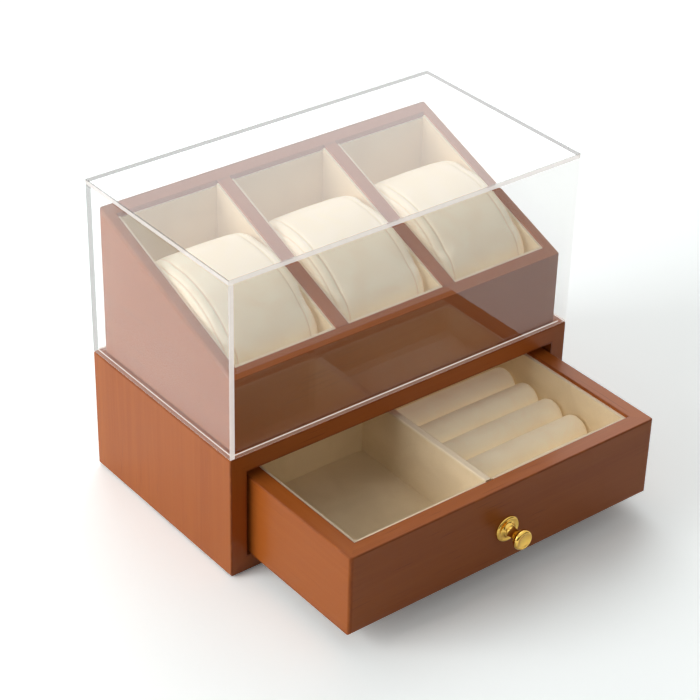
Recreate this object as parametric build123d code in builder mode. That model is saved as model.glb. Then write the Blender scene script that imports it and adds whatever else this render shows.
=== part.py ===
from build123d import *
import os
from math import asin, atan, cos, degrees, sin, tan

# Watch box with a drawer, in millimetres. A wooden case holds the drawer, a sloped tray of three
# lined watch compartments with pillows stands on its deck, and a clear cover lifts off the top.
# The origin is the centre of the underside, +Z is up and the drawer opens towards -Y. It is drawn
# as photographed: the cover seated and the drawer pulled out.

os.makedirs("parts", exist_ok=True)

# Case: two sides, a deck, a bottom and a back, standing on a felt sheet
case_width = 220.0
case_depth = 123.0
case_height = 71.5
side_thickness = 9.7
deck_thickness = 10.1
bottom_thickness = 9.6
case_back_thickness = 8.0
felt_thickness = 0.8
felt_inset = 3.0
case_arris = 1.2            # rounding of the long arrises
edge_round = 0.8            # rounding of the other wooden edges

# Clear cover, five bonded sheets, flush with the outside of the case
cover_height = 100.6
sheet_thickness = 3.0
cover_arris = 0.4

# Sloped watch tray inside the cover
tray_clearance = 1.5        # between the tray and the cover
tray_front_height = 41.8    # above the deck
tray_back_height = 85.0     # above the deck
tray_wall = 6.5
tray_divider_thickness = 7.9
compartment_width = 60.8    # between the wooden faces
tray_top_round = 0.6        # round the compartments
tray_front_round = 1.8      # rounding of the upper arris in front
tray_back_round = 2.8       # rounding of the upper arris behind
tray_end_round = 1.7        # rounding of the arrises at the two ends
floor_depth = 37.3          # square to the slope, from its face down to the wooden floor
floor_thickness = 3.0

# Velvet linings, in the tray and, thicker, in the drawer
tray_lining = 1.3
drawer_lining_thickness = 2.0
lining_corner = 1.5         # where the drawer's lining turns the front corners
tray_lining_step = 0.7      # from the sloped face down to the lining's edge
back_lining_drop = 1.5      # the back lining's edge is this much lower again

# Pillows, along the slope and square to it. The outline's points are shares of half the length
# and of half the height.
pillow_length = 82.0
pillow_height = 41.0
pillow_gap = 0.4            # clear of the lining, all round
pillow_crown = 5.0          # rise of the top between its two shoulders
pillow_foot = 0.62          # where the flat underside ends
pillow_shoulder = 0.58
pillow_waist = 0.12         # below the middle, where it is longest
pillow_lower_bow = (0.915, 0.74)
pillow_upper_bow = (0.885, 0.42)
pillow_swell = ((0.0, 0.90), (1.2, 0.945), (3.0, 0.97), (5.5, 0.982), (12.0, 0.993))   # inset, scale

# Drawer
drawer_open = 80.0          # how far it stands open here
drawer_side_gap = 1.9
drawer_height = 46.2
drawer_foot_gap = 0.4
drawer_back_gap = 1.0       # behind it when it is shut
drawer_wall = 9.5
drawer_back_wall = 4.6
drawer_front_arris = 2.0    # rounding of the front's upright and lower arrises
panel_rise = 1.7            # from the drawer's lower edge up to its bottom panel
panel_thickness = 5.5
drawer_lining_step = 1.5    # from the drawer's rim down to the lining's edge
divider_thickness = 4.8
divider_middle = -3.8
divider_step = 1.5          # from the drawer's rim down to the divider's top
divider_round = 1.2

# Ring rolls in the right-hand side of the drawer
roll_count = 5
roll_pitch = 18.9
roll_gap = 0.3
roll_height = 22.0
roll_shoulder = 14.5        # height of the line where neighbours meet
roll_end_gap = 0.5
roll_swell = ((0.0, 0.95), (1.2, 0.985))   # inset, scale

# Knob, screwed on from inside. Its reaches are measured from the drawer's front.
knob_height = 31.0          # of its middle above the ground
rosette_radius = 7.25
rosette_thickness = 3.0
rosette_profile = ((1.0, 0.7), (0.86, 1.5), (0.62, 1.7), (0.5, 2.1), (0.45, 3.0))   # radius share, reach
neck_radius = 2.6
neck_flare = 0.5            # wider at the rosette
head_flare = 0.7            # wider at the head
head_radius = 5.6
head_back_reach = 8.8
head_widest_reach = 11.3
knob_reach = 13.2
head_back_bow = (0.88, 9.6)       # radius share, reach
head_front_bow = (0.947, 12.4)
dish_radius = 4.5           # of the shallow dish in the head's face
dish_depth = 0.5
screw_radius = 1.95
screw_head_radius = 4.0
screw_head_thickness = 2.2
screw_head_chamfer = 0.6
screw_bite = 6.0            # of the screw into the knob
screw_hole_spare = 1.0      # of a screw's hole beyond its tip
screw_clearance = 0.05      # round the thread
screw_play = 0.2            # round a shank or head in a loose hole
screw_inset = 0.1           # of a head below the surface

# Screws that hold the tray down, driven up through the deck into the two dividers
tray_screw_radius = 1.5
tray_screw_head_radius = 3.0
tray_screw_bite = 14.0
tray_screw_spacing = 60.0

# Worked-out positions
opening_half = case_width / 2 - side_thickness
opening_low = bottom_thickness + felt_thickness
opening_high = case_height - deck_thickness
case_front = -case_depth / 2
cover_top = case_height + cover_height
tray_half_width = case_width / 2 - sheet_thickness - tray_clearance
tray_half_depth = case_depth / 2 - sheet_thickness - tray_clearance
tray_front_top = case_height + tray_front_height
tray_back_top = case_height + tray_back_height
slope = atan((tray_back_height - tray_front_height) / (2 * tray_half_depth))
tray_inner_half = tray_half_width - tray_wall
inner_half_depth = tray_half_depth - tray_wall
compartment_pitch = compartment_width + tray_divider_thickness
compartment_middles = {"left": -compartment_pitch, "centre": 0.0, "right": compartment_pitch}

drawer_half_width = opening_half - drawer_side_gap
drawer_low = opening_low + drawer_foot_gap
drawer_top = drawer_low + drawer_height
drawer_length = case_depth - case_back_thickness - drawer_back_gap
drawer_front = case_front - drawer_open
drawer_back = drawer_front + drawer_length
drawer_inner_half = drawer_half_width - drawer_wall
drawer_inner_front = drawer_front + drawer_wall
drawer_inner_back = drawer_back - drawer_back_wall
panel_low = drawer_low + panel_rise
panel_top = panel_low + panel_thickness
lined_half = drawer_inner_half - drawer_lining_thickness
lined_front = drawer_inner_front + drawer_lining_thickness
lined_back = drawer_inner_back - drawer_lining_thickness
divider_left = divider_middle - divider_thickness / 2
divider_right = divider_middle + divider_thickness / 2


def face_height(y):
    # Height of the tray's sloped face at a depth y
    return tray_front_top + (y + tray_half_depth) * tan(slope)


def below_face(y, distance):
    # Height of a plane parallel to the sloped face, the given distance under it
    return face_height(y) - distance / cos(slope)


def plan_prism(corners, low, high, mode):
    # Upright prism on a plan outline, used to cut a blank into boards
    with BuildSketch(Plane.XY.offset(low)) as plan:
        with BuildLine():
            Polyline(*corners, close=True)
        make_face()
    extrude(plan.sketch, amount=high - low, mode=mode)


# Case boards, mitred along the four long arrises and cut from one rounded blank
with BuildPart() as case_blank:
    with Locations((0, 0, (felt_thickness + case_height) / 2)):
        Box(case_width, case_depth, case_height - felt_thickness)
    fillet(case_blank.edges().filter_by(Axis.Y), case_arris)
    fillet(case_blank.faces().sort_by(Axis.Y)[0].edges(), edge_round)
    fillet(case_blank.faces().sort_by(Axis.Y)[-1].edges(), edge_round)

outer_left = [(-case_width / 2, felt_thickness), (-case_width / 2, case_height)]
inner_left = [(-opening_half, opening_high), (-opening_half, opening_low)]
outer_right = [(-x, z) for x, z in outer_left]
inner_right = [(-x, z) for x, z in inner_left]


def case_board(corners):
    # Part of the blank inside an outline drawn on the front view
    with BuildSketch(Plane.XZ.offset(-case_depth / 2)) as front_view:
        with BuildLine():
            Polyline(*corners, close=True)
        make_face()
    extrude(front_view.sketch, amount=case_depth, mode=Mode.INTERSECT)


with BuildPart() as case_left_side:
    add(case_blank.part)
    case_board(outer_left + inner_left)
case_left_side.part.label = "case_left_side"
export_step(case_left_side.part, "parts/case_left_side.step")

with BuildPart() as case_right_side:
    add(case_blank.part)
    case_board(outer_right + inner_right)
case_right_side.part.label = "case_right_side"
export_step(case_right_side.part, "parts/case_right_side.step")

with BuildPart() as case_bottom:
    add(case_blank.part)
    case_board([outer_left[0], inner_left[1], inner_right[1], outer_right[0]])
case_bottom.part.label = "case_bottom"
export_step(case_bottom.part, "parts/case_bottom.step")

# The deck has four countersunk holes for the tray's screws, open to the drawer's bay
with BuildPart() as case_deck:
    add(case_blank.part)
    case_board([outer_left[1], inner_left[0], inner_right[0], outer_right[1]])
    with Locations(Plane(origin=(0, 0, opening_high), x_dir=(1, 0, 0), z_dir=(0, 0, -1))):
        with GridLocations(compartment_pitch, tray_screw_spacing, 2, 2):
            CounterSinkHole(
                radius=tray_screw_radius + screw_play,
                counter_sink_radius=tray_screw_head_radius + screw_play,
                counter_sink_angle=90,
            )
case_deck.part.label = "case_deck"
export_step(case_deck.part, "parts/case_deck.step")

with BuildPart() as case_back:
    with Locations((0, case_depth / 2 - case_back_thickness / 2, (opening_low + opening_high) / 2)):
        Box(2 * opening_half, case_back_thickness, opening_high - opening_low)
case_back.part.label = "case_back"
export_step(case_back.part, "parts/case_back.step")

with BuildPart() as base_felt:
    with BuildSketch():
        Rectangle(case_width - 2 * felt_inset, case_depth - 2 * felt_inset)
    extrude(amount=felt_thickness)
base_felt.part.label = "base_felt"
export_step(base_felt.part, "parts/base_felt.step")

# Tray boards, mitred at the four corners and cut from one blank with the sloped top
with BuildPart() as tray_blank:
    with BuildSketch(Plane.YZ.offset(-tray_half_width)) as tray_side_view:
        with BuildLine():
            Polyline(
                (-tray_half_depth, case_height),
                (tray_half_depth, case_height),
                (tray_half_depth, tray_back_top),
                (-tray_half_depth, tray_front_top),
                close=True,
            )
        make_face()
        tops = tray_side_view.vertices().sort_by(Axis.Z)[2:]
        fillet(tops[0], tray_front_round)
        fillet(tops[1], tray_back_round)
    extrude(amount=2 * tray_half_width)
    for end in (tray_blank.faces().sort_by(Axis.X)[0], tray_blank.faces().sort_by(Axis.X)[-1]):
        fillet(end.edges().sort_by(Axis.Z)[1:], tray_end_round)
    with BuildSketch(Plane.XY.offset(case_height)):
        with Locations(*[(middle, 0) for middle in compartment_middles.values()]):
            Rectangle(compartment_width, 2 * inner_half_depth)
    extrude(amount=cover_height, mode=Mode.SUBTRACT)
    upward_faces = tray_blank.faces().filter_by(lambda f: f.normal_at().Z > 0.5)
    sloped_face = upward_faces.sort_by(SortBy.AREA)[-1]
    rims = [edge for wire in sloped_face.inner_wires() for edge in wire.edges()]
    fillet(rims, tray_top_round)

tray_outer = [(-tray_half_width, -tray_half_depth), (-tray_half_width, tray_half_depth)]
tray_inner = [(-tray_inner_half, inner_half_depth), (-tray_inner_half, -inner_half_depth)]


def mirrored(points):
    return [(-x, y) for x, y in points]


def tray_board(corners):
    plan_prism(corners, case_height, cover_top, Mode.INTERSECT)


with BuildPart() as tray_left_side:
    add(tray_blank.part)
    tray_board(tray_outer + tray_inner)
tray_left_side.part.label = "tray_left_side"
export_step(tray_left_side.part, "parts/tray_left_side.step")

with BuildPart() as tray_right_side:
    add(tray_blank.part)
    tray_board(mirrored(tray_outer + tray_inner))
tray_right_side.part.label = "tray_right_side"
export_step(tray_right_side.part, "parts/tray_right_side.step")

with BuildPart() as tray_front:
    add(tray_blank.part)
    tray_board([tray_outer[0], tray_inner[1], mirrored(tray_inner)[1], mirrored(tray_outer)[0]])
tray_front.part.label = "tray_front"
export_step(tray_front.part, "parts/tray_front.step")

with BuildPart() as tray_back:
    add(tray_blank.part)
    tray_board([tray_outer[1], tray_inner[0], mirrored(tray_inner)[0], mirrored(tray_outer)[1]])
tray_back.part.label = "tray_back"
export_step(tray_back.part, "parts/tray_back.step")

for side, sign in (("left", -1), ("right", 1)):
    middle = sign * compartment_pitch / 2
    with BuildPart() as tray_divider:
        add(tray_blank.part)
        with BuildSketch(Plane.XY.offset(case_height)):
            with Locations((middle, 0)):
                Rectangle(tray_divider_thickness, 2 * inner_half_depth)
        extrude(amount=cover_height, mode=Mode.INTERSECT)
        with Locations(Plane(origin=(middle, 0, case_height), x_dir=(1, 0, 0), z_dir=(0, 0, -1))):
            with GridLocations(tray_divider_thickness, tray_screw_spacing, 1, 2):
                Hole(radius=tray_screw_radius + screw_clearance, depth=tray_screw_bite + screw_hole_spare)
    tray_divider.part.label = f"tray_divider_{side}"
    export_step(tray_divider.part, f"parts/tray_divider_{side}.step")

# Countersunk screws, heads up inside the deck's holes
screw_seat = opening_high + screw_inset
with BuildPart() as tray_screws:
    with GridLocations(compartment_pitch, tray_screw_spacing, 2, 2):
        Cylinder(
            radius=tray_screw_radius,
            height=case_height + tray_screw_bite - screw_seat,
            align=(Align.CENTER, Align.CENTER, Align.MIN),
        )
        Cone(
            bottom_radius=tray_screw_head_radius,
            top_radius=tray_screw_radius,
            height=tray_screw_head_radius - tray_screw_radius,
            align=(Align.CENTER, Align.CENTER, Align.MIN),
        )
tray_screws.part = tray_screws.part.moved(Location((0, 0, screw_seat)))
tray_screws.part.label = "tray_screws"
export_step(tray_screws.part, "parts/tray_screws.step")


def sloped_sheet(middle, width, half_depth, top_distance, thickness):
    # Sheet parallel to the tray's face, with upright ends
    with BuildSketch(Plane.YZ.offset(middle - width / 2)) as side_view:
        with BuildLine():
            Polyline(
                (-half_depth, below_face(-half_depth, top_distance)),
                (half_depth, below_face(half_depth, top_distance)),
                (half_depth, below_face(half_depth, top_distance + thickness)),
                (-half_depth, below_face(-half_depth, top_distance + thickness)),
                close=True,
            )
        make_face()
    extrude(side_view.sketch, amount=width)


def pillow_outline(scale):
    # Flat-bottomed oval, round at both ends and crowned on top, scaled about its middle
    half_length = pillow_length / 2 * scale
    half_height = pillow_height / 2 * scale
    middle_s = (tray_wall + tray_lining) / cos(slope) + pillow_gap + pillow_length / 2
    middle_h = -(floor_depth - tray_lining) + pillow_gap + pillow_height / 2
    foot = half_length * pillow_foot
    shoulder = half_length * pillow_shoulder
    waist = -half_height * pillow_waist
    crown = pillow_crown * scale
    lower_s, lower_h = half_length * pillow_lower_bow[0], -half_height * pillow_lower_bow[1]
    upper_s, upper_h = half_length * pillow_upper_bow[0], half_height * pillow_upper_bow[1]

    def at(s, h):
        return (middle_s + s, middle_h + h)

    Line(at(-foot, -half_height), at(foot, -half_height))
    ThreePointArc(at(foot, -half_height), at(lower_s, lower_h), at(half_length, waist))
    ThreePointArc(at(half_length, waist), at(upper_s, upper_h), at(shoulder, half_height - crown))
    ThreePointArc(
        at(shoulder, half_height - crown), at(0, half_height), at(-shoulder, half_height - crown)
    )
    ThreePointArc(at(-shoulder, half_height - crown), at(-upper_s, upper_h), at(-half_length, waist))
    ThreePointArc(at(-half_length, waist), at(-lower_s, lower_h), at(-foot, -half_height))


# Each compartment has a wooden floor, wall and floor linings, and a pillow with drawn-in ends
lined_width = compartment_width - 2 * tray_lining
pillow_half_width = lined_width / 2 - pillow_gap
pillow_stations = [(inset - pillow_half_width, scale) for inset, scale in pillow_swell]
pillow_stations += [(0.0, 1.0)]
pillow_stations += [(-x, scale) for x, scale in reversed(pillow_stations[:-1])]

for side, middle in compartment_middles.items():
    with BuildPart() as tray_floor:
        sloped_sheet(middle, compartment_width, inner_half_depth, floor_depth, floor_thickness)
    tray_floor.part.label = f"tray_floor_{side}"
    export_step(tray_floor.part, f"parts/tray_floor_{side}.step")

    with BuildPart() as wall_lining:
        with BuildSketch(Plane.XY.offset(case_height)):
            with Locations((middle, 0)):
                Rectangle(compartment_width, 2 * inner_half_depth)
                Rectangle(lined_width, 2 * (inner_half_depth - tray_lining), mode=Mode.SUBTRACT)
        extrude(amount=cover_height)
        with BuildSketch(Plane.YZ.offset(middle - compartment_width / 2)):
            with BuildLine():
                back_edge = below_face(inner_half_depth - tray_lining, tray_lining_step)
                Polyline(
                    (-inner_half_depth, below_face(-inner_half_depth, floor_depth)),
                    (inner_half_depth, below_face(inner_half_depth, floor_depth)),
                    (inner_half_depth, back_edge - back_lining_drop),
                    (inner_half_depth - tray_lining, back_edge - back_lining_drop),
                    (inner_half_depth - tray_lining, back_edge),
                    (-inner_half_depth, below_face(-inner_half_depth, tray_lining_step)),
                    close=True,
                )
            make_face()
        extrude(amount=compartment_width, mode=Mode.INTERSECT)
    wall_lining.part.label = f"watch_lining_{side}"
    export_step(wall_lining.part, f"parts/watch_lining_{side}.step")

    with BuildPart() as floor_lining:
        sloped_sheet(middle, lined_width, inner_half_depth - tray_lining, floor_depth - tray_lining, tray_lining)
    floor_lining.part.label = f"watch_floor_lining_{side}"
    export_step(floor_lining.part, f"parts/watch_floor_lining_{side}.step")

    with BuildPart() as pillow:
        for x, scale in pillow_stations:
            section = Plane(
                origin=(middle + x, -tray_half_depth, tray_front_top),
                x_dir=(0, cos(slope), sin(slope)),
                z_dir=(1, 0, 0),
            )
            with BuildSketch(section):
                with BuildLine():
                    pillow_outline(scale)
                make_face()
        loft(ruled=True)
    pillow.part.label = f"pillow_{side}"
    export_step(pillow.part, f"parts/pillow_{side}.step")

# Clear cover: the side sheets run the full depth, the others fit between them under the top
cover_panels = {
    "cover_top": ((0, 0, cover_top - sheet_thickness / 2), (case_width, case_depth, sheet_thickness)),
}
wall_height = cover_height - sheet_thickness
wall_middle = case_height + wall_height / 2
for side, sign in (("left", -1), ("right", 1)):
    cover_panels[f"cover_{side}"] = (
        (sign * (case_width - sheet_thickness) / 2, 0, wall_middle),
        (sheet_thickness, case_depth, wall_height),
    )
for side, sign in (("front", -1), ("back", 1)):
    cover_panels[f"cover_{side}"] = (
        (0, sign * (case_depth - sheet_thickness) / 2, wall_middle),
        (case_width - 2 * sheet_thickness, sheet_thickness, wall_height),
    )

for name, (middle, size) in cover_panels.items():
    with BuildPart() as panel:
        with Locations(middle):
            Box(*size)
        if name == "cover_top":
            chamfer(panel.faces().sort_by(Axis.Z)[-1].edges(), cover_arris)
    panel.part.label = name
    export_step(panel.part, f"parts/{name}.step")

# Drawer walls, mitred at the corners and cut from one rounded blank
with BuildPart() as drawer_blank:
    with Locations((0, (drawer_front + drawer_back) / 2, (drawer_low + drawer_top) / 2)):
        Box(2 * drawer_half_width, drawer_length, drawer_height)
    plan_prism(
        [
            (-drawer_inner_half, drawer_inner_front),
            (drawer_inner_half, drawer_inner_front),
            (drawer_inner_half, drawer_inner_back),
            (-drawer_inner_half, drawer_inner_back),
        ],
        drawer_low,
        drawer_top,
        Mode.SUBTRACT,
    )
    front_edges = drawer_blank.faces().sort_by(Axis.Y)[0].edges()
    fillet(front_edges.sort_by(Axis.Z)[:-1], drawer_front_arris)
    fillet(drawer_blank.faces().sort_by(Axis.Z)[-1].edges(), edge_round)

drawer_outer = [(-drawer_half_width, drawer_front), (-drawer_half_width, drawer_back)]
drawer_inner = [(-drawer_inner_half, drawer_inner_back), (-drawer_inner_half, drawer_inner_front)]


def drawer_board(corners):
    plan_prism(corners, drawer_low, drawer_top, Mode.INTERSECT)


with BuildPart() as drawer_left_side:
    add(drawer_blank.part)
    drawer_board(drawer_outer + drawer_inner)
drawer_left_side.part.label = "drawer_left_side"
export_step(drawer_left_side.part, "parts/drawer_left_side.step")

with BuildPart() as drawer_right_side:
    add(drawer_blank.part)
    drawer_board(mirrored(drawer_outer + drawer_inner))
drawer_right_side.part.label = "drawer_right_side"
export_step(drawer_right_side.part, "parts/drawer_right_side.step")

with BuildPart() as drawer_back_board:
    add(drawer_blank.part)
    drawer_board([drawer_outer[1], drawer_inner[0], mirrored(drawer_inner)[0], mirrored(drawer_outer)[1]])
drawer_back_board.part.label = "drawer_back"
export_step(drawer_back_board.part, "parts/drawer_back.step")

# The front is bored for the knob's screw, with a recess for its head under the lining
with BuildPart() as drawer_front_board:
    add(drawer_blank.part)
    drawer_board([drawer_outer[0], drawer_inner[1], mirrored(drawer_inner)[1], mirrored(drawer_outer)[0]])
    with Locations(Plane(origin=(0, drawer_inner_front, knob_height), x_dir=(1, 0, 0), z_dir=(0, 1, 0))):
        CounterBoreHole(
            radius=screw_radius + screw_play,
            counter_bore_radius=screw_head_radius + screw_play,
            counter_bore_depth=screw_head_thickness + screw_play,
        )
drawer_front_board.part.label = "drawer_front"
export_step(drawer_front_board.part, "parts/drawer_front.step")

with BuildPart() as drawer_bottom:
    with Locations((0, (drawer_inner_front + drawer_inner_back) / 2, (panel_low + panel_top) / 2)):
        Box(2 * drawer_inner_half, drawer_inner_back - drawer_inner_front, panel_thickness)
drawer_bottom.part.label = "drawer_bottom"
export_step(drawer_bottom.part, "parts/drawer_bottom.step")

# The divider is a board wrapped in the lining
with BuildPart() as drawer_divider:
    with Locations((divider_middle, (lined_front + lined_back) / 2, panel_top)):
        Box(
            divider_thickness,
            lined_back - lined_front,
            drawer_top - divider_step - panel_top,
            align=(Align.CENTER, Align.CENTER, Align.MIN),
        )
    fillet(drawer_divider.faces().sort_by(Axis.Z)[-1].edges().filter_by(Axis.Y), divider_round)
drawer_divider.part.label = "drawer_divider"
export_step(drawer_divider.part, "parts/drawer_divider.step")

# Wall linings, one strip bent round three sides of each half, and a floor lining in each
lining_top = drawer_top - drawer_lining_step
for side, sign, divider_face in (("left", -1, divider_left), ("right", 1, divider_right)):
    with BuildPart() as drawer_lining:
        plan_prism(
            [
                (divider_face, drawer_inner_front),
                (sign * drawer_inner_half, drawer_inner_front),
                (sign * drawer_inner_half, drawer_inner_back),
                (divider_face, drawer_inner_back),
                (divider_face, lined_back),
                (sign * lined_half, lined_back),
                (sign * lined_half, lined_front),
                (divider_face, lined_front),
            ],
            panel_top,
            lining_top,
            Mode.ADD,
        )
        front_corner = (sign * lined_half, lined_front, panel_top)
        fillet(drawer_lining.edges().filter_by(Axis.Z).sort_by_distance(front_corner)[0], lining_corner)
    drawer_lining.part.label = f"drawer_lining_{side}"
    export_step(drawer_lining.part, f"parts/drawer_lining_{side}.step")

    with BuildPart() as drawer_floor_lining:
        plan_prism(
            [
                (divider_face, lined_front),
                (sign * lined_half, lined_front),
                (sign * lined_half, lined_back),
                (divider_face, lined_back),
            ],
            panel_top,
            panel_top + drawer_lining_thickness,
            Mode.ADD,
        )
        fillet(drawer_floor_lining.edges().filter_by(Axis.Z).sort_by_distance(front_corner)[0], lining_corner)
    drawer_floor_lining.part.label = f"drawer_floor_lining_{side}"
    export_step(drawer_floor_lining.part, f"parts/drawer_floor_lining_{side}.step")

# Ring rolls lie across the right-hand half, numbered from the back
roll_low = panel_top + drawer_lining_thickness
roll_start = divider_right + roll_end_gap
roll_end = lined_half - roll_end_gap
roll_stations = [(roll_start + inset, scale) for inset, scale in roll_swell]
roll_stations += [((roll_start + roll_end) / 2, 1.0)]
roll_stations += [(roll_end - inset, scale) for inset, scale in reversed(roll_swell)]


def roll_outline(middle, scale):
    # Foam roll, flat underneath, upright where it meets its neighbours and round on top
    half = (roll_pitch - roll_gap) / 2 * scale
    shoulder = roll_low + roll_shoulder * scale
    top = roll_low + roll_height * scale
    Line((middle - half, roll_low), (middle + half, roll_low))
    Line((middle + half, roll_low), (middle + half, shoulder))
    ThreePointArc((middle + half, shoulder), (middle, top), (middle - half, shoulder))
    Line((middle - half, shoulder), (middle - half, roll_low))


for number in range(1, roll_count + 1):
    middle = lined_back - (number - 0.5) * roll_pitch
    with BuildPart() as ring_roll:
        for x, scale in roll_stations:
            with BuildSketch(Plane.YZ.offset(x)):
                with BuildLine():
                    roll_outline(middle, scale)
                make_face()
        loft(ruled=True)
    ring_roll.part.label = f"ring_roll_{number}"
    export_step(ring_roll.part, f"parts/ring_roll_{number}.step")

# Knob: a dished rosette, a waisted neck with a flat round head, and a screw from inside
knob_axis = Axis((0, 0, knob_height), (0, 1, 0))
knob_plane = Plane.XY.offset(knob_height)
neck_start = drawer_front - rosette_thickness

with BuildPart() as knob_rosette:
    rim, shoulder, valley, bead, seat = [
        (share * rosette_radius, drawer_front - reach) for share, reach in rosette_profile
    ]
    with BuildSketch(knob_plane):
        with BuildLine():
            Polyline((0, drawer_front), (rosette_radius, drawer_front), rim)
            ThreePointArc(rim, shoulder, valley)
            ThreePointArc(valley, bead, seat)
            Polyline(seat, (0, neck_start), (0, drawer_front))
        make_face()
    revolve(axis=knob_axis)
    with Locations(Plane(origin=(0, neck_start, knob_height), z_dir=(0, -1, 0))):
        Hole(radius=screw_radius + screw_play)
knob_rosette.part.label = "knob_rosette"
export_step(knob_rosette.part, "parts/knob_rosette.step")

with BuildPart() as knob:
    neck_foot = (neck_radius + neck_flare, neck_start)
    neck_end = (neck_radius + head_flare, drawer_front - head_back_reach)
    head_edge = (head_radius, drawer_front - head_widest_reach)
    dish_edge = (dish_radius, drawer_front - knob_reach)
    dish_middle = (0, drawer_front - knob_reach + dish_depth)
    dish_ball = (dish_radius**2 + dish_depth**2) / (2 * dish_depth)
    dish_angle = degrees(asin(dish_radius / dish_ball))
    back_share, back_reach = head_back_bow
    front_share, front_reach = head_front_bow
    with BuildSketch(knob_plane):
        with BuildLine():
            Line((0, neck_start), neck_foot)
            ThreePointArc(neck_foot, (neck_radius, (neck_start + neck_end[1]) / 2), neck_end)
            ThreePointArc(neck_end, (back_share * head_radius, drawer_front - back_reach), head_edge)
            ThreePointArc(head_edge, (front_share * head_radius, drawer_front - front_reach), dish_edge)
            CenterArc((0, dish_middle[1] - dish_ball), dish_ball, 90 - dish_angle, dish_angle)
            Line(dish_middle, (0, neck_start))
        make_face()
    revolve(axis=knob_axis)
    with Locations(Plane(origin=(0, neck_start, knob_height), x_dir=(1, 0, 0), z_dir=(0, 1, 0))):
        Hole(radius=screw_radius + screw_clearance, depth=screw_bite + screw_hole_spare)
knob.part.label = "knob"
export_step(knob.part, "parts/knob.step")

with BuildPart() as knob_screw:
    head_seat = drawer_inner_front - screw_inset
    head_under = head_seat - screw_head_thickness
    with BuildSketch(knob_plane):
        with BuildLine():
            Polyline(
                (0, head_seat),
                (screw_head_radius - screw_head_chamfer, head_seat),
                (screw_head_radius, head_seat - screw_head_chamfer),
                (screw_head_radius, head_under),
                (screw_radius, head_under),
                (screw_radius, neck_start - screw_bite),
                (0, neck_start - screw_bite),
                close=True,
            )
        make_face()
    revolve(axis=knob_axis)
knob_screw.part.label = "knob_screw"
export_step(knob_screw.part, "parts/knob_screw.step")

print(f"slope {degrees(slope):.2f} degrees, drawer {2 * drawer_half_width:.1f} x {drawer_length:.1f}")
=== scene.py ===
import math

import bmesh
import bpy
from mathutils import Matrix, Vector


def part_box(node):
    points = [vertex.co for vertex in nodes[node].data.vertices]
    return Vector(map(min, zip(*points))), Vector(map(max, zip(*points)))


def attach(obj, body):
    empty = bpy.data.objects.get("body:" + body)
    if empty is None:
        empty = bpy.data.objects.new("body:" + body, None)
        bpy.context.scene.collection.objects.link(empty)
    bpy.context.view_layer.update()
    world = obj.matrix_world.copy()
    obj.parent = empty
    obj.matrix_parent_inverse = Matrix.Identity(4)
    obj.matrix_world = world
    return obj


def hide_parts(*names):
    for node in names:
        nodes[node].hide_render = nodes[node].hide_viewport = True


# Watch box with a drawer: lacquered wood, velvet linings, sewn pillows, a clear cover and a brass knob
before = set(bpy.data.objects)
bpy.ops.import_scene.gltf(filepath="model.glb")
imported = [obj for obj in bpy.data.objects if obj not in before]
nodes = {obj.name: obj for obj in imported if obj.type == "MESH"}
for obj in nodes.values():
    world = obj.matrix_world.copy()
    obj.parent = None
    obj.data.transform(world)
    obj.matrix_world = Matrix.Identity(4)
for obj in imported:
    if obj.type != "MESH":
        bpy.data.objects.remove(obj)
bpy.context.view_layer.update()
print("frame loaded,", len(nodes), "nodes")


# small helpers

def paint(red, green, blue):
    # a screen colour, 0 to 255, as the shader's own numbers
    tones = [value / 255 for value in (red, green, blue)]
    return tuple(t / 12.92 if t < 0.04045 else ((t + 0.055) / 1.055) ** 2.4 for t in tones) + (1,)


def select(piece):
    if bpy.context.mode != "OBJECT":
        bpy.ops.object.mode_set(mode="OBJECT")
    bpy.ops.object.select_all(action="DESELECT")
    piece.select_set(True)
    bpy.context.view_layer.objects.active = piece


def settle():
    # the new piece's place goes into its mesh
    bpy.ops.object.transform_apply(location=True, rotation=True, scale=True)
    return bpy.context.active_object


def openMesh(piece, kind):
    select(piece)
    bpy.ops.object.mode_set(mode="EDIT")
    bpy.ops.mesh.select_mode(type=kind)
    bpy.ops.mesh.select_all(action="DESELECT")


def closeMesh():
    bpy.ops.object.mode_set(mode="OBJECT")


def pick(kind, test):
    # selects the vertices, edges or faces that pass a test on their place or normal
    drawn = bmesh.from_edit_mesh(bpy.context.edit_object.data)
    for part in getattr(drawn, kind):
        part.select_set(False)
    for part in getattr(drawn, kind):
        if test(part):
            part.select_set(True)
    drawn.select_flush_mode()
    bmesh.update_edit_mesh(bpy.context.edit_object.data)


def copyOf(node, name):
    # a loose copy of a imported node's mesh, with its doubles merged
    piece = bpy.data.objects.new(name, nodes[node].data.copy())
    piece.data.name = name
    bpy.context.scene.collection.objects.link(piece)
    piece.data.materials.clear()
    openMesh(piece, "VERT")
    bpy.ops.mesh.select_all(action="SELECT")
    bpy.ops.mesh.remove_doubles(threshold=0.00001)
    bpy.ops.mesh.normals_make_consistent(inside=False)
    closeMesh()
    return piece


def smooth(piece, degrees):
    select(piece)
    bpy.ops.object.shade_smooth_by_angle(angle=math.radians(degrees))


def addModifier(piece, kind, **settings):
    select(piece)
    bpy.ops.object.modifier_add(type=kind)
    modifier = piece.modifiers[-1]
    for key, value in settings.items():
        setattr(modifier, key, value)
    return modifier


def applied(piece, kind, **settings):
    modifier = addModifier(piece, kind, **settings)
    bpy.ops.object.modifier_apply(modifier=modifier.name)


# shader nodes

def blank(name):
    material = bpy.data.materials.new(name)
    material.use_nodes = True
    material.node_tree.nodes.clear()
    return material, material.node_tree


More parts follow.
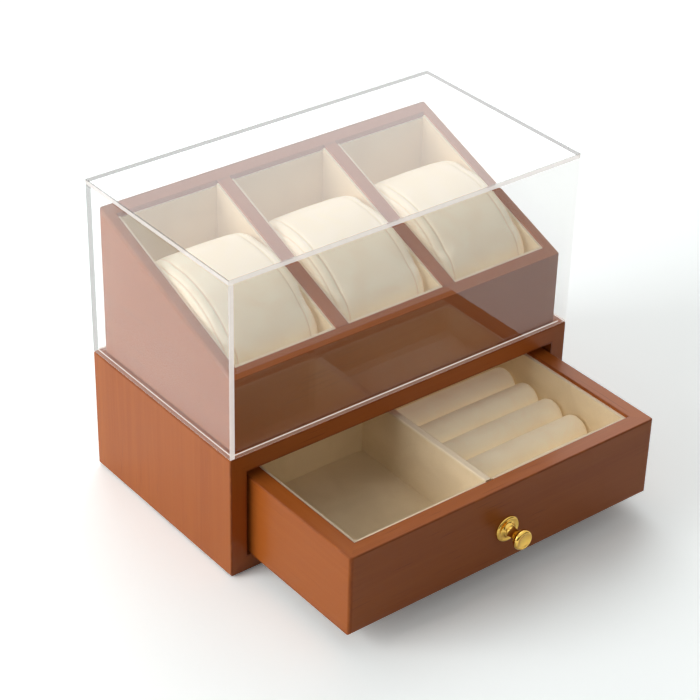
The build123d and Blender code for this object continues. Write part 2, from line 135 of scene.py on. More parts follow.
def put(tree, kind, inputs=None, **settings):
    made = tree.nodes.new("ShaderNode" + kind)
    for key, value in settings.items():
        setattr(made, key, value)
    for key, value in (inputs or {}).items():
        if isinstance(value, bpy.types.NodeSocket):
            tree.links.new(value, made.inputs[key])
        else:
            made.inputs[key].default_value = value
    return made


def sums(tree, operation, first, second=0.0):
    return put(tree, "Math", {0: first, 1: second}, operation=operation).outputs[0]


def ramp(tree, factor, low, high, start=0.0, end=1.0):
    # smooth step of a value between two places, low and high
    return put(
        tree, "MapRange",
        {"Value": factor, "From Min": low, "From Max": high, "To Min": start, "To Max": end},
        interpolation_type="SMOOTHSTEP",
    ).outputs[0]


def blend(tree, factor, first, second):
    mixed = put(tree, "Mix", data_type="RGBA")
    for socket, value in ((mixed.inputs[0], factor), (mixed.inputs[6], first), (mixed.inputs[7], second)):
        if isinstance(value, bpy.types.NodeSocket):
            tree.links.new(value, socket)
        else:
            socket.default_value = value
    return mixed.outputs[2]


def tinted(tree, tone, mask, share, colour):
    # lays a colour over a tone where the mask is 1, and only by its share
    return blend(tree, sums(tree, "MULTIPLY", mask, share), tone, paint(*colour))


def place(tree, scale=(1, 1, 1), shift=(0, 0, 0)):
    # object coordinates, scaled and moved for a pattern
    spot = put(tree, "TexCoord").outputs["Object"]
    return put(tree, "Mapping", {"Vector": spot, "Scale": scale, "Location": shift}).outputs[0]


def noise(tree, vector, size, detail, roughness=0.5, warp=0.0):
    return put(
        tree, "TexNoise",
        {"Vector": vector, "Scale": size, "Detail": detail, "Roughness": roughness, "Distortion": warp},
    ).outputs["Fac"]


def finish(tree, shader):
    put(tree, "OutputMaterial", {"Surface": shader})


# camera

camera = {
    "place": (-0.58628, -0.74383, 0.66136),
    "turn": (57.7018, -1.2816, -37.9743),     # degrees
    "lens": 108.78, "sensor": 36,             # millimetres
    "farthest": 30,
}

cameraTurn = [math.radians(angle) for angle in camera["turn"]]
bpy.ops.object.camera_add(location=camera["place"], rotation=cameraTurn)
watcher = bpy.context.active_object
watcher.name = "photoView"
watcher.data.lens = camera["lens"]
watcher.data.sensor_width = camera["sensor"]
watcher.data.clip_end = camera["farthest"]
bpy.context.scene.camera = watcher
print("camera placed")


# lacquered wood

wood = {
    "body": (174, 93, 33),
    "pale": (179, 99, 38),
    "deep": (166, 86, 29),
    "pore": (118, 54, 20),
    "arrisTone": (122, 56, 24),   # darker along the arrises
    "stretch": 26,                # how much longer than wide the grain is
    "boardShift": (0.37, 0.61, 0.23),   # moves the pattern on from board to board
    # how fine each pattern is, across the board
    "figure": 26, "streaks": 420, "poreRate": 900, "sway": 9, "patches": 130, "orangePeel": 260,
    # how strongly each shows
    "streakShare": 0.45, "swayShare": 0.30, "poreShare": 0.40, "arrisShare": 0.60,
    "bump": 0.16, "bumpDepth": 0.0002, "streakRelief": 0.35, "peelRelief": 0.5,
    "lacquer": 1.5,               # its index of refraction
    "roughness": 0.38, "uneven": 0.1,
    "coat": 0.10,
    "coatRoughness": 0.16,
    "gloss": 0.18,
    "arris": 0.0013, "arrisFade": 0.25,   # width of the darker arris, and the share of it that is full
}


def arrisBand(tree, node):
    # 1 on the arrises of a node's box and 0 a little way in from them
    low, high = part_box(node)
    spot = put(tree, "SeparateXYZ", {0: put(tree, "TexCoord").outputs["Object"]}).outputs
    gaps = []
    for axis in range(3):
        middle, half = (low[axis] + high[axis]) / 2, (high[axis] - low[axis]) / 2
        away = sums(tree, "ABSOLUTE", sums(tree, "SUBTRACT", spot[axis], middle))
        gaps.append(sums(tree, "SUBTRACT", half, away))
    nearest = sums(tree, "MINIMUM", gaps[0], gaps[1])
    farther = sums(tree, "MAXIMUM", gaps[0], gaps[1])
    second = sums(tree, "MAXIMUM", nearest, sums(tree, "MINIMUM", farther, gaps[2]))
    return ramp(tree, second, wood["arris"], wood["arris"] * wood["arrisFade"])


def lacqueredWood(node, along, number):
    # one board's wood: along is the axis of its grain, number shifts the pattern from board to board
    material, tree = blank("lacqueredWood_" + node)
    stretch = wood["stretch"]
    scales = {"x": (1, stretch, stretch), "y": (stretch, 1, stretch), "z": (stretch, stretch, 1)}[along]
    shift = tuple(step * number for step in wood["boardShift"])
    grainSpace = place(tree, scale=scales, shift=shift)
    plainSpace = place(tree, shift=shift)

    sway = noise(tree, plainSpace, wood["sway"], detail=2)
    figure = noise(tree, grainSpace, wood["figure"] / stretch, detail=3, roughness=0.55, warp=1.2)
    streaks = noise(tree, grainSpace, wood["streaks"] / stretch, detail=3, roughness=0.6)
    pores = noise(tree, grainSpace, wood["poreRate"] / stretch, detail=1, roughness=0.4)
    poreMask = sums(tree, "MULTIPLY", ramp(tree, pores, 0.665, 0.72), ramp(tree, sway, 0.35, 0.65))

    tone = blend(tree, ramp(tree, figure, 0.30, 0.70), paint(*wood["deep"]), paint(*wood["body"]))
    tone = tinted(tree, tone, ramp(tree, streaks, 0.40, 0.72), wood["streakShare"], wood["pale"])
    tone = tinted(tree, tone, ramp(tree, sway, 0.35, 0.75), wood["swayShare"], wood["pale"])
    tone = tinted(tree, tone, poreMask, wood["poreShare"], wood["pore"])
    patchy = noise(tree, plainSpace, wood["patches"], detail=3)
    # darker along the arrises, broken up by patches
    darkerArris = sums(tree, "MULTIPLY", arrisBand(tree, node), ramp(tree, patchy, 0.20, 0.60))
    tone = tinted(tree, tone, darkerArris, wood["arrisShare"], wood["arrisTone"])

    orangePeel = noise(tree, plainSpace, wood["orangePeel"], detail=2)
    relief = sums(tree, "SUBTRACT", sums(tree, "MULTIPLY", streaks, wood["streakRelief"]), poreMask)
    relief = sums(tree, "ADD", relief, sums(tree, "MULTIPLY", orangePeel, wood["peelRelief"]))
    bump = put(
        tree, "Bump", {"Height": relief, "Strength": wood["bump"], "Distance": wood["bumpDepth"]}
    ).outputs[0]
    uneven = sums(tree, "MULTIPLY", sway, wood["uneven"])
    shine = sums(tree, "ADD", wood["roughness"] - wood["uneven"] / 2, uneven)
    surface = put(tree, "BsdfPrincipled", {
        "Base Color": tone, "Roughness": shine, "Normal": bump,
        "Coat Weight": wood["coat"], "Coat Roughness": wood["coatRoughness"], "IOR": wood["lacquer"],
        "Specular IOR Level": wood["gloss"],
    })
    finish(tree, surface.outputs[0])
    return material


grainOf = {
    "case_left_side": "z", "case_right_side": "z", "case_deck": "x", "case_bottom": "x", "case_back": "x",
    "tray_left_side": "y", "tray_right_side": "y", "tray_front": "x", "tray_back": "x",
    "tray_divider_left": "y", "tray_divider_right": "y",
    "drawer_front": "x", "drawer_left_side": "y", "drawer_right_side": "y", "drawer_back": "x",
}

for number, (board, along) in enumerate(grainOf.items()):
    dressed = lacqueredWood(board, along, number)
    nodes[board].data.materials.clear()
    nodes[board].data.materials.append(dressed)
print("wood on", len(grainOf), "boards")


# plain panels: the drawer's bottom and the compartments' floors

panelBoard = {
    "body": (164, 118, 76), "fibre": (132, 90, 54), "roughness": 0.62,
    "stretch": 8, "fibreSize": 120, "fleckSize": 900, "fleckShare": 0.3, "bump": 0.2, "bumpDepth": 0.0002,
}


def boardMaterial():
    material, tree = blank("panelBoard")
    scale = (1, panelBoard["stretch"], panelBoard["stretch"])
    fibres = noise(tree, place(tree, scale=scale), panelBoard["fibreSize"], detail=4, roughness=0.65)
    flecks = noise(tree, place(tree), panelBoard["fleckSize"], detail=1)
    tone = blend(tree, ramp(tree, fibres, 0.35, 0.68), paint(*panelBoard["fibre"]), paint(*panelBoard["body"]))
    tone = tinted(tree, tone, ramp(tree, flecks, 0.6, 0.7), panelBoard["fleckShare"], panelBoard["fibre"])
    bump = put(
        tree, "Bump", {"Height": fibres, "Strength": panelBoard["bump"], "Distance": panelBoard["bumpDepth"]}
    ).outputs[0]
    surface = put(tree, "BsdfPrincipled", {
        "Base Color": tone, "Roughness": panelBoard["roughness"], "Normal": bump,
    })
    finish(tree, surface.outputs[0])
    return material


plainPanel = boardMaterial()
for name in ("drawer_bottom", "tray_floor_left", "tray_floor_centre", "tray_floor_right"):
    nodes[name].data.materials.clear()
    nodes[name].data.materials.append(plainPanel)


# velvet of the linings, and the softer cloth of the pillows and rolls

# glow: painted light, a faint glow in each cloth's own tone
velvet = {
    "pile": (238, 219, 184), "shade": (229, 209, 173), "fleck": (248, 235, 210),
    "paintedTopTone": (252, 234, 206), "paintedTopShare": 0.7,     # painted highlight where a lining faces up
    "napSize": 1500, "patchSize": 38, "sheen": 0.35, "sheenRoughness": 0.45, "bump": 0.35, "glow": 0.02,
}
suede = {
    "pile": (244, 229, 200), "shade": (237, 220, 189), "fleck": (252, 243, 224),
    "napSize": 1900, "patchSize": 55, "sheen": 0.45, "sheenRoughness": 0.4, "bump": 0.22, "glow": 0.17,
}
paleSuede = {
    "pile": (247, 233, 206), "shade": (241, 225, 196), "fleck": (253, 245, 228),
    "napSize": 1900, "patchSize": 55, "sheen": 0.55, "sheenRoughness": 0.4, "bump": 0.22, "glow": 0.20,
}
# what all the napped cloths share
nap = {
    "shadeShare": 0.22, "fleckShare": 0.25, "patchRelief": 0.6, "bumpDepth": 0.0003,
    "roughness": 0.92, "gloss": 0.2,
}


def napped(name, look, extraTone=None):
    # short pile: fine grain, brushed patches and a soft sheen. extraTone(tree, tone) may add seams
    material, tree = blank(name)
    space = place(tree)
    hairs = noise(tree, space, look["napSize"], detail=2, roughness=0.7)
    patches = noise(tree, space, look["patchSize"], detail=3, roughness=0.5, warp=0.6)
    tone = blend(tree, ramp(tree, patches, 0.30, 0.66), paint(*look["shade"]), paint(*look["pile"]))
    tone = tinted(tree, tone, ramp(tree, hairs, 0.30, 0.48, 1, 0), nap["shadeShare"], look["shade"])
    tone = tinted(tree, tone, ramp(tree, hairs, 0.56, 0.72), nap["fleckShare"], look["fleck"])
    if extraTone:
        tone = extraTone(tree, tone)
    relief = sums(tree, "ADD", hairs, sums(tree, "MULTIPLY", patches, nap["patchRelief"]))
    bump = put(
        tree, "Bump", {"Height": relief, "Strength": look["bump"], "Distance": nap["bumpDepth"]}
    ).outputs[0]
    surface = put(tree, "BsdfPrincipled", {
        "Base Color": tone, "Roughness": nap["roughness"], "Normal": bump,
        "Sheen Weight": look["sheen"], "Sheen Roughness": look["sheenRoughness"],
        "Sheen Tint": paint(*look["fleck"]), "Specular IOR Level": nap["gloss"],
        "Emission Color": tone, "Emission Strength": look["glow"],     # painted light: the cloth glows a little in its own tone
    })
    finish(tree, surface.outputs[0])
    return material


def paintedTopLight(tree, tone):
    # painted highlight: a wall lining is paler where it faces up, as if lit from above
    upward = put(tree, "SeparateXYZ", {0: put(tree, "NewGeometry").outputs["Normal"]}).outputs[2]
    return tinted(tree, tone, ramp(tree, upward, 0.6, 0.9), velvet["paintedTopShare"], velvet["paintedTopTone"])


liningCloth = napped("velvetLining", velvet)
paintedTopCloth = napped("velvetPaintedTop", velvet, paintedTopLight)
linings = [name for name in nodes if "lining" in name] + ["drawer_divider"]
for name in linings:
    nodes[name].data.materials.clear()
    nodes[name].data.materials.append(liningCloth if "floor" in name else paintedTopCloth)
print("velvet on", len(linings), "linings")


# felt under the box

felt = {
    "body": (62, 42, 32), "fluff": (96, 70, 54), "size": 1400, "bump": 0.6, "bumpDepth": 0.0003,
    "roughness": 0.96, "sheen": 0.3, "sheenRoughness": 0.5,
}


def feltMaterial():
    material, tree = blank("baseFelt")
    fluff = noise(tree, place(tree), felt["size"], detail=3, roughness=0.7, warp=0.5)
    tone = blend(tree, ramp(tree, fluff, 0.42, 0.7), paint(*felt["body"]), paint(*felt["fluff"]))
    bump = put(tree, "Bump", {"Height": fluff, "Strength": felt["bump"], "Distance": felt["bumpDepth"]}).outputs[0]
    surface = put(tree, "BsdfPrincipled", {
        "Base Color": tone, "Roughness": felt["roughness"], "Normal": bump,
        "Sheen Weight": felt["sheen"], "Sheen Roughness": felt["sheenRoughness"],
    })
    finish(tree, surface.outputs[0])
    return material


nodes["base_felt"].data.materials.clear()
nodes["base_felt"].data.materials.append(feltMaterial())


# metals

brass = {"body": (232, 190, 96), "tarnish": (196, 146, 62), "roughness": 0.13}
steel = {"body": (186, 184, 180), "dull": (140, 138, 134), "roughness": 0.32}
# what both metals share
polish = {
    "cloudSize": 220, "cloudShare": 0.5, "cloudRoughness": 0.1,
    "lineSize": 380, "lineStretch": 22, "bump": 0.03, "bumpDepth": 0.0001,
}


def metalMaterial(name, look, tarnished):
    material, tree = blank(name)
    cloud = noise(tree, place(tree), polish["cloudSize"], detail=3)
    hairlines = noise(tree, place(tree, scale=(1, polish["lineStretch"], 1)), polish["lineSize"], detail=2)
    clouded = ramp(tree, cloud, 0.45, 0.75)
    tone = tinted(tree, paint(*look["body"]), clouded, polish["cloudShare"], look[tarnished])
    uneven = sums(tree, "MULTIPLY", ramp(tree, cloud, 0.5, 0.8), polish["cloudRoughness"])
    shine = sums(tree, "ADD", look["roughness"], uneven)
    bump = put(
        tree, "Bump", {"Height": hairlines, "Strength": polish["bump"], "Distance": polish["bumpDepth"]}
    ).outputs[0]
    surface = put(tree, "BsdfPrincipled", {
        "Base Color": tone, "Metallic": 1.0, "Roughness": shine, "Normal": bump,
    })
    finish(tree, surface.outputs[0])
    return material


polishedBrass = metalMaterial("polishedBrass", brass, "tarnish")
screwSteel = metalMaterial("screwSteel", steel, "dull")
for name in ("tray_screws", "knob_screw"):
    nodes[name].data.materials.clear()
    nodes[name].data.materials.append(screwSteel)


# clear cover

cover = {
    "tint": (254, 254, 254),
    "film": 0.02,                 # most of the faint haze that handling leaves
    "lampsThrough": 0.94,         # what each face lets through of a lamp's light
    "bend": 1.01,                 # so thin a sheet hardly bends what is seen through it
    "reflects": 1.49,
    "joint": 0.00003,             # bond line between two sheets
    "arris": 0.0004,
    "smudges": 24, "beads": 900, "edgeLines": 420, "lineStretch": 7,   # how fine each pattern is
    "lineStep": 7,                # how much paler the lines of an edge are
    "edgeRoughness": 0.35, "edgeGloss": 0.1,
    # how far a face turns to the sheet's broad side: past the first it is that side, past the second an arris
    "clearFace": 0.999, "arrisFace": 0.3,
    # painted light and shade on the edges, standing in for the light that runs in the sheets: a glowing colour for
    # each, paler or darker by where it stands, and how solid it looks
    "nearEdge": ((242, 235, 230), 0.80),
    "farEdge": ((135, 134, 131), 0.85),
    "columnEdge": ((171, 171, 169), 0.72),
    "faintEdge": ((246, 244, 241), 0.35),
    "footEdge": ((226, 196, 178), 0.30),
    "upperArris": ((168, 166, 163), 0.70),
    "frontArris": ((238, 234, 230), 0.60),
    "footArris": ((246, 230, 220), 0.95),
    "edgeGlow": 0.8,              # the share of an edge's colour that is painted glow
}


def clearMaterial():
    material, tree = blank("clearAcrylic")
    smudge = noise(tree, place(tree), cover["smudges"], detail=3)
    glass = put(tree, "BsdfPrincipled", {
        "Base Color": paint(*cover["tint"]), "Transmission Weight": 1.0, "IOR": cover["bend"], "Roughness": 0.0,
        "Coat Weight": 1.0, "Coat IOR": cover["reflects"], "Coat Roughness": 0.0,
    })
    film = put(tree, "BsdfDiffuse", {"Color": paint(*cover["tint"])})
    share = ramp(tree, smudge, 0.3, 0.8, cover["film"] / 2, cover["film"])
    hazy = put(tree, "MixShader", {0: share, 1: glass.outputs[0], 2: film.outputs[0]})
    dimmed = [cover["lampsThrough"]] * 3 + [1]
    lampPath = put(tree, "BsdfTransparent", {"Color": dimmed})
    rays = put(tree, "LightPath").outputs
    plain = put(tree, "MixShader", {0: rays["Is Diffuse Ray"], 1: hazy.outputs[0], 2: lampPath.outputs[0]})
    whole = put(tree, "MixShader", {0: rays["Is Shadow Ray"], 1: plain.outputs[0], 2: lampPath.outputs[0]})
    finish(tree, whole.outputs[0])
    return material


def edgeMaterial(name):
    # a sawn and polished edge: fine lines along it, and a painted glow
    colour, solid = cover[name]
    paler = [value + cover["lineStep"] for value in colour]
    material, tree = blank("sheet" + name[0].upper() + name[1:])
    lines = noise(tree, place(tree, scale=(1, 1, cover["lineStretch"])), cover["edgeLines"], detail=3)
    tone = blend(tree, ramp(tree, lines, 0.35, 0.7), paint(*colour), paint(*paler))
    dulled = blend(tree, cover["edgeGlow"], tone, (0, 0, 0, 1))
    surface = put(tree, "BsdfPrincipled", {
        "Base Color": dulled, "Roughness": cover["edgeRoughness"], "Alpha": solid,
        "Specular IOR Level": cover["edgeGloss"],
        "Emission Color": tone, "Emission Strength": cover["edgeGlow"],
    })
    finish(tree, surface.outputs[0])
    return material


def bondMaterial():
    # where two sheets are bonded the light goes straight on
    material, tree = blank("bondedJoint")
    beads = noise(tree, place(tree), cover["beads"], detail=1)
    tone = blend(tree, ramp(tree, beads, 0.62, 0.70), (1, 1, 1, 1), paint(*cover["tint"]))
    finish(tree, put(tree, "BsdfTransparent", {"Color": tone}).outputs[0])
    return material


edgeNames = (
    "nearEdge", "farEdge", "columnEdge", "faintEdge", "footEdge", "upperArris", "frontArris", "footArris",
)
sheetMaterials = [clearMaterial(), bondMaterial()] + [edgeMaterial(name) for name in edgeNames]
bondedSlot, firstEdgeSlot = 1, 2
# what each way that a sheet's edges face looks like. The others are bonded
sheetEdges = {
    "cover_top": {"-x": "nearEdge", "-y": "nearEdge", "+x": "farEdge", "+y": "farEdge"},
    "cover_front": {"-z": "footEdge"}, "cover_back": {"-z": "footEdge"},
    "cover_left": {"-y": "nearEdge", "+y": "columnEdge", "-z": "footEdge"},
    "cover_right": {"-y": "faintEdge", "-z": "footEdge"},
}


def coverSheet(node, name):
    # one sheet: two clear faces, and edges of their own finish with a small arris
    low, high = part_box(node)
    low, high = Vector(low), Vector(high)
    if node in ("cover_front", "cover_back"):
        low.x, high.x = low.x + cover["joint"], high.x - cover["joint"]
    if node != "cover_top":
        high.z -= cover["joint"]
    size = high - low
    thin = min(range(3), key=lambda axis: size[axis])
    bpy.ops.object.select_all(action="DESELECT")
    bpy.ops.mesh.primitive_cube_add(size=1, location=(low + high) / 2, scale=size)
    sheet = settle()
    sheet.name = sheet.data.name = name
    openMesh(sheet, "EDGE")
    bpy.ops.mesh.select_all(action="SELECT")
    bpy.ops.mesh.bevel(offset=cover["arris"], segments=1)
    closeMesh()
    for material in sheetMaterials:
        sheet.data.materials.append(material)
    for face in sheet.data.polygons:
        squarely = abs(face.normal[thin])
        if squarely > cover["clearFace"]:
            continue
        along = max((axis for axis in range(3) if axis != thin), key=lambda axis: abs(face.normal[axis]))
        way = ("-" if face.normal[along] < 0 else "+") + "xyz"[along]
        look = sheetEdges[node].get(way)
        if squarely > cover["arrisFace"]:
            if look == "footEdge":
                look = "footArris"
            if node == "cover_top":
                look = None if face.normal.z < 0 else "frontArris" if way == "-y" else "upperArris"
        face.material_index = firstEdgeSlot + edgeNames.index(look) if look else bondedSlot
    select(sheet)
    bpy.ops.object.shade_flat()
    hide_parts(node)
    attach(sheet, "cover")


for side in ("top", "front", "back", "left", "right"):
    coverSheet("cover_" + side, "clearSheet" + side.capitalize())
print("cover made")


# pillows

pillow = {
    "voxel": 0.0028,
    "start": 0.985,          # size before it is filled
    "pressure": 4.0,
    "frames": 20,
    "cap": 0.0035,           # most that a point may move
    "sag": 0.001, "backSpare": 0.0004, "crownSpare": 0.002,   # how far it may pass its solid's box
    "seams": (0.0019, 0.0068),   # in from each end
    "seamDepth": 0.0007,
    "seamWidth": 0.0009,
    # in seam widths: between the rings of edges, to the valley's rim, to the rim of the painted shade
    "ringStep": 0.55, "valley": 1.6, "seamShadeRim": 0.6,
    # painted shade in the seam valleys: its colour, share and core
    "seamShadeTone": (190, 164, 120), "seamShadeShare": 0.35, "seamShadeCore": 0.0001,
    "leaning": 0.3,          # how far a point's normal leans from the ends before it is drawn in
}
# Blender's own names for the skin's cloth settings
skin = {
    "quality": 6, "mass": 0.15, "tension_stiffness": 12, "compression_stiffness": 12, "shear_stiffness": 6,
    "bending_stiffness": 0.4, "use_pressure": True,
}


def puff(piece, look):
    # fills a closed cloth skin with air, gravity off, and keeps each point within the cap of its start
    select(piece)
    piece.data.remesh_voxel_size = look["voxel"]
    bpy.ops.object.voxel_remesh()
    middle = sum((v.co for v in piece.data.vertices), Vector()) / len(piece.data.vertices)
    openMesh(piece, "VERT")
    bpy.ops.mesh.select_all(action="SELECT")
    bpy.ops.transform.resize(value=(look["start"],) * 3, center_override=middle)
    closeMesh()
    before = [v.co.copy() for v in piece.data.vertices]
    cloth = addModifier(piece, "CLOTH")
    for key, value in skin.items():
        setattr(cloth.settings, key, value)
    cloth.settings.uniform_pressure_force = look["pressure"]
    cloth.settings.effector_weights.gravity = 0
    cloth.point_cache.frame_start = 1
    cloth.point_cache.frame_end = look["frames"]
    for step in range(1, look["frames"] + 1):
        bpy.context.scene.frame_set(step)
    bpy.ops.object.modifier_apply(modifier=cloth.name)
    bpy.context.scene.frame_set(1)
    for vertex, start in zip(piece.data.vertices, before):
        moved = vertex.co - start
        if moved.length > look["cap"]:
            vertex.co = start + moved.normalized() * look["cap"]


def keepInside(piece, low, high):
    # a soft piece goes flat where it meets what holds it
    for vertex in piece.data.vertices:
        for axis in range(3):
            vertex.co[axis] = min(max(vertex.co[axis], low[axis]), high[axis])


def sewnPillow(side):
    node = "pillow_" + side
    low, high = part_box(node)
    middle = (low[0] + high[0]) / 2
    half = (high[0] - low[0]) / 2
    piece = copyOf(node, "sewnPillow" + side.capitalize())
    puff(piece, pillow)
    applied(piece, "SMOOTH", factor=0.5, iterations=2)
    keepInside(
        piece, (low[0], low[1], low[2] - pillow["sag"]),
        (high[0], high[1] + pillow["backSpare"], high[2] + pillow["crownSpare"]),
    )
    applied(piece, "SUBSURF", levels=1, render_levels=1)

    # each seam is cut in as three rings of edges, and its middle ring drawn inwards
    openMesh(piece, "EDGE")
    for inset in pillow["seams"]:
        for sign in (-1, 1):
            for step in (-1, 0, 1):
                spot = middle + sign * (half - inset) + step * pillow["seamWidth"] * pillow["ringStep"]
                bpy.ops.mesh.select_all(action="SELECT")
                bpy.ops.mesh.bisect(plane_co=(spot, 0, 0), plane_no=(1, 0, 0))
    closeMesh()
    seamPlaces = [middle + sign * (half - inset) for inset in pillow["seams"] for sign in (-1, 1)]
    normals = [v.normal.copy() for v in piece.data.vertices]
    for vertex, normal in zip(piece.data.vertices, normals):
        for spot in seamPlaces:
            away = abs(vertex.co.x - spot) / (pillow["seamWidth"] * pillow["valley"])
            if away < 1:
                pull = Vector((0, normal.y, normal.z))
                if pull.length > pillow["leaning"]:
                    vertex.co -= pull.normalized() * pillow["seamDepth"] * (1 - away) ** 2
    smooth(piece, 180)

    def seamShade(tree, tone):
        # painted shade: the seam valleys are a little darker
        across = put(tree, "SeparateXYZ", {0: put(tree, "TexCoord").outputs["Object"]}).outputs[0]
        for spot in seamPlaces:
            away = sums(tree, "ABSOLUTE", sums(tree, "SUBTRACT", across, spot))
            mask = ramp(tree, away, pillow["seamWidth"] * pillow["seamShadeRim"], pillow["seamShadeCore"])
            tone = tinted(tree, tone, mask, pillow["seamShadeShare"], pillow["seamShadeTone"])
        return tone

    piece.data.materials.append(napped("pillowCloth_" + side, paleSuede, seamShade))
    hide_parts(node)
    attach(piece, side + "_pillow")


for side in ("left", "centre", "right"):
    sewnPillow(side)
print("pillows sewn")


# ring rolls

roll = {
    "count": 5,
    "voxel": 0.0020,
    "start": 0.985,
    "pressure": 3.0,
    "frames": 20,
    "cap": 0.0016,
    "side": 0.0001, "crownSpare": 0.0006,   # how far it may pass its solid's box
    "seam": 0.0013,                         # in from each end
    "seamDepth": 0.0004,
    "seamReach": 0.00003,                   # what lies this near the cut is drawn in with it
}


def ringRolls():
    lows = [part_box(f"ring_roll_{number}")[0] for number in range(1, roll["count"] + 1)]
    low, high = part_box("ring_roll_1")
    master = copyOf("ring_roll_1", "ringRoll1")
    puff(master, roll)
    applied(master, "SMOOTH", factor=0.5, iterations=2)
    keepInside(
        master, (low[0], low[1] - roll["side"], low[2]),
        (high[0], high[1] + roll["side"], high[2] + roll["crownSpare"]),
    )
    applied(master, "SUBSURF", levels=1, render_levels=1)
    openMesh(master, "EDGE")
    for spot in (low[0] + roll["seam"], high[0] - roll["seam"]):
        bpy.ops.mesh.select_all(action="SELECT")
        bpy.ops.mesh.bisect(plane_co=(spot, 0, 0), plane_no=(1, 0, 0))
        pick("verts", lambda v: abs(v.co.x - spot) < roll["seamReach"])
        bpy.ops.transform.shrink_fatten(value=-roll["seamDepth"])
    closeMesh()
    smooth(master, 180)
    cloth = napped("rollCloth", suede)
    master.data.materials.append(cloth)
    rolls = [master]
    for number in range(2, roll["count"] + 1):
        select(master)
        bpy.ops.object.duplicate(linked=False)
        copied = bpy.context.active_object
        copied.name = copied.data.name = f"ringRoll{number}"
        bpy.ops.transform.translate(value=(0, lows[number - 1][1] - lows[0][1], 0))
        rolls.append(settle())
    for number, piece in enumerate(rolls, 1):
        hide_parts(f"ring_roll_{number}")
        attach(piece, "drawer")


ringRolls()
print("ring rolls made")


# knob

knob = {
    "middle": 0.031,             # height
    "sides": 96,
    "innerShare": 0.6,           # of the last radius, for the inset that closes the end
    "arris": 0.00012,
    # reach from the drawer's front and radius in millimetres, from the rim inwards
    "rosette": (
        (0.0, 7.25), (0.55, 7.25), (0.95, 7.1), (1.35, 6.6), (1.45, 6.1), (1.3, 5.6), (1.1, 5.1),
        (1.15, 4.5), (1.5, 4.0), (2.1, 3.7), (2.6, 3.5), (2.95, 3.25),
    ),
    "stem": (
        (2.5, 3.1), (3.0, 3.1), (3.3, 2.95), (4.1, 2.68), (5.6, 2.58), (7.0, 2.66), (8.0, 2.95),
        (8.7, 3.3), (9.1, 4.0), (9.7, 4.9), (10.5, 5.42), (11.3, 5.6), (12.0, 5.5), (12.7, 5.15),
        (13.05, 4.8), (13.2, 4.4), (13.0, 3.95), (12.67, 3.2), (12.38, 2.3), (12.2, 1.2),
    ),
}


def turned(name, stations, front):
    # a turned form: a disc is drawn out station by station along -Y and closed at its end
    reach, radius = stations[0]
    bpy.ops.object.select_all(action="DESELECT")
    bpy.ops.mesh.primitive_circle_add(
        vertices=knob["sides"], radius=radius / 1000, fill_type="NGON",
        location=(0, front - reach / 1000, knob["middle"]), rotation=(math.radians(90), 0, 0),
    )
    piece = settle()
    piece.name = piece.data.name = name
    openMesh(piece, "FACE")
    bpy.ops.mesh.select_all(action="SELECT")
    for (before, wide), (after, narrow) in zip(stations, stations[1:]):
        bpy.ops.mesh.extrude_region_move(TRANSFORM_OT_translate={"value": (0, (before - after) / 1000, 0)})
        bpy.ops.transform.resize(
            value=(narrow / wide, 1, narrow / wide), center_override=(0, front, knob["middle"])
        )
    bpy.ops.mesh.inset(thickness=stations[-1][1] * knob["innerShare"] / 1000)
    bpy.ops.mesh.select_all(action="SELECT")
    bpy.ops.mesh.normals_make_consistent(inside=False)
    closeMesh()
    smooth(piece, 50)
    return piece


def brassKnob():
    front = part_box("drawer_front")[0][1]
    rosette = turned("knobRosette", knob["rosette"], front)
    head = turned("knobHead", knob["stem"], front)
    for piece, node in ((rosette, "knob_rosette"), (head, "knob")):
        applied(
            piece, "BEVEL", width=knob["arris"], segments=1, limit_method="ANGLE", angle_limit=math.radians(35)
        )
        smooth(piece, 60)
        piece.data.materials.append(polishedBrass)
        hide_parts(node)
        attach(piece, "drawer")


brassKnob()
print("knob turned")


# floor, backdrop and light

studio = {
    "floorSize": 12.0, "floorHeight": -0.0001, "floorSpecks": 300,
    "floorSeen": (281, 287, 287), "floorBounce": (176, 173, 168), "floorLift": 0.09,
    "floorFade": (0.35, 0.95),     # from here to there out it turns to the white of the backdrop
    "worldSeen": 1.0, "worldFill": 0.28, "fillTone": (1.0, 0.985, 0.96, 1),
    "darkFront": 0.12, "darkForward": (-0.15, -0.45), "darkBelow": (0.70, 0.45),
    # place, aim, size, power
    "lamps": {
        "keyLamp": ((-1.08, 0.26, 0.48), (0.0, -0.03, 0.06), 0.7, 9.8),
        "backPanel": ((0.80, 1.00, 0.85), (0.0, 0.0, 0.12), 1.3, 10.0),
        "topPanel": ((0.00, 0.35, 1.50), (0.0, -0.03, 0.05), 1.0, 2.8),
    },
}


def seenRays(tree):
    # 1 for the camera's own rays and for those that a mirror or glass sends on
    path = put(tree, "LightPath").outputs
    both = sums(tree, "MAXIMUM", path["Is Camera Ray"], path["Is Glossy Ray"])
    seen = sums(tree, "MAXIMUM", both, path["Is Transmission Ray"])
    return sums(tree, "MULTIPLY", seen, sums(tree, "LESS_THAN", path["Diffuse Depth"], 0.5))


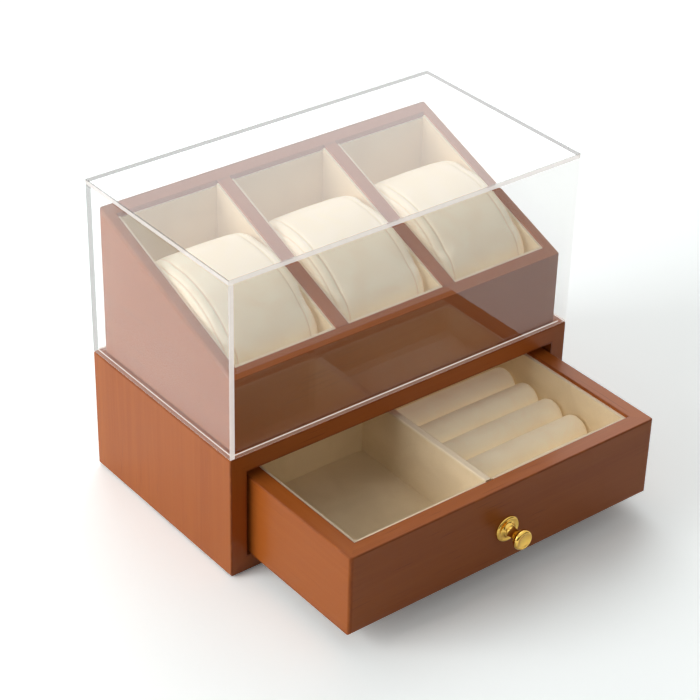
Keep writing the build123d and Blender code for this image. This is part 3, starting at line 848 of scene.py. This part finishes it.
def makeFloor():
    material, tree = blank("paleFloor")
    specks = noise(tree, place(tree), studio["floorSpecks"], detail=2)
    seenTone = blend(tree, specks, paint(*studio["floorSeen"]), paint(*(v - 2 for v in studio["floorSeen"])))
    seen = put(tree, "BsdfDiffuse", {"Color": seenTone})
    lift = put(tree, "Emission", {"Color": (1, 1, 1, 1), "Strength": studio["floorLift"]})
    seenAll = put(tree, "AddShader", {0: seen.outputs[0], 1: lift.outputs[0]})
    bounce = put(tree, "BsdfDiffuse", {"Color": paint(*studio["floorBounce"])})
    spot = put(tree, "TexCoord").outputs["Object"]
    away = put(tree, "VectorMath", {0: spot}, operation="LENGTH").outputs["Value"]
    white = put(tree, "Emission", {"Color": (1, 1, 1, 1), "Strength": studio["worldSeen"]})
    fade = ramp(tree, away, *studio["floorFade"])
    faded = put(tree, "MixShader", {0: fade, 1: seenAll.outputs[0], 2: white.outputs[0]})
    whole = put(tree, "MixShader", {0: seenRays(tree), 1: bounce.outputs[0], 2: faded.outputs[0]})
    finish(tree, whole.outputs[0])
    bpy.ops.object.select_all(action="DESELECT")
    bpy.ops.mesh.primitive_plane_add(size=studio["floorSize"], location=(0, 0, studio["floorHeight"]))
    floor = settle()
    floor.name = floor.data.name = "studioFloor"
    floor.data.materials.append(material)


def makeWorld():
    world = bpy.data.worlds.new("studioWorld")
    world.use_nodes = True
    tree = world.node_tree
    tree.nodes.clear()
    fill = put(tree, "Background", {"Color": studio["fillTone"], "Strength": studio["worldFill"]})
    # the room in front is dark, and only polished things show it
    way = put(tree, "SeparateXYZ", {0: put(tree, "TexCoord").outputs["Generated"]}).outputs
    forward, below = ramp(tree, way[1], *studio["darkForward"]), ramp(tree, way[2], *studio["darkBelow"])
    front = sums(tree, "MULTIPLY", forward, below)
    front = sums(tree, "MULTIPLY", front, put(tree, "LightPath").outputs["Is Glossy Ray"])
    glow = blend(tree, front, (1, 1, 1, 1), [studio["darkFront"]] * 3 + [1])
    seen = put(tree, "Background", {"Color": glow, "Strength": studio["worldSeen"]})
    mixed = put(tree, "MixShader", {0: seenRays(tree), 1: fill.outputs[0], 2: seen.outputs[0]})
    put(tree, "OutputWorld", {"Surface": mixed.outputs[0]})
    bpy.context.scene.world = world


def makeLamps():
    for name, (spot, aim, size, power) in studio["lamps"].items():
        bpy.ops.object.light_add(type="AREA", location=spot)
        lamp = bpy.context.active_object
        lamp.name = name
        lamp.data.shape = "SQUARE"
        lamp.data.size = size
        lamp.data.energy = power
        lamp.visible_transmission = False     # the cover lets lamps through by its own path
        lamp.rotation_euler = (Vector(aim) - Vector(spot)).to_track_quat("-Z", "Y").to_euler()


makeFloor()
makeWorld()
makeLamps()
bpy.context.scene.view_settings.view_transform = "Standard"
print("stage lit")
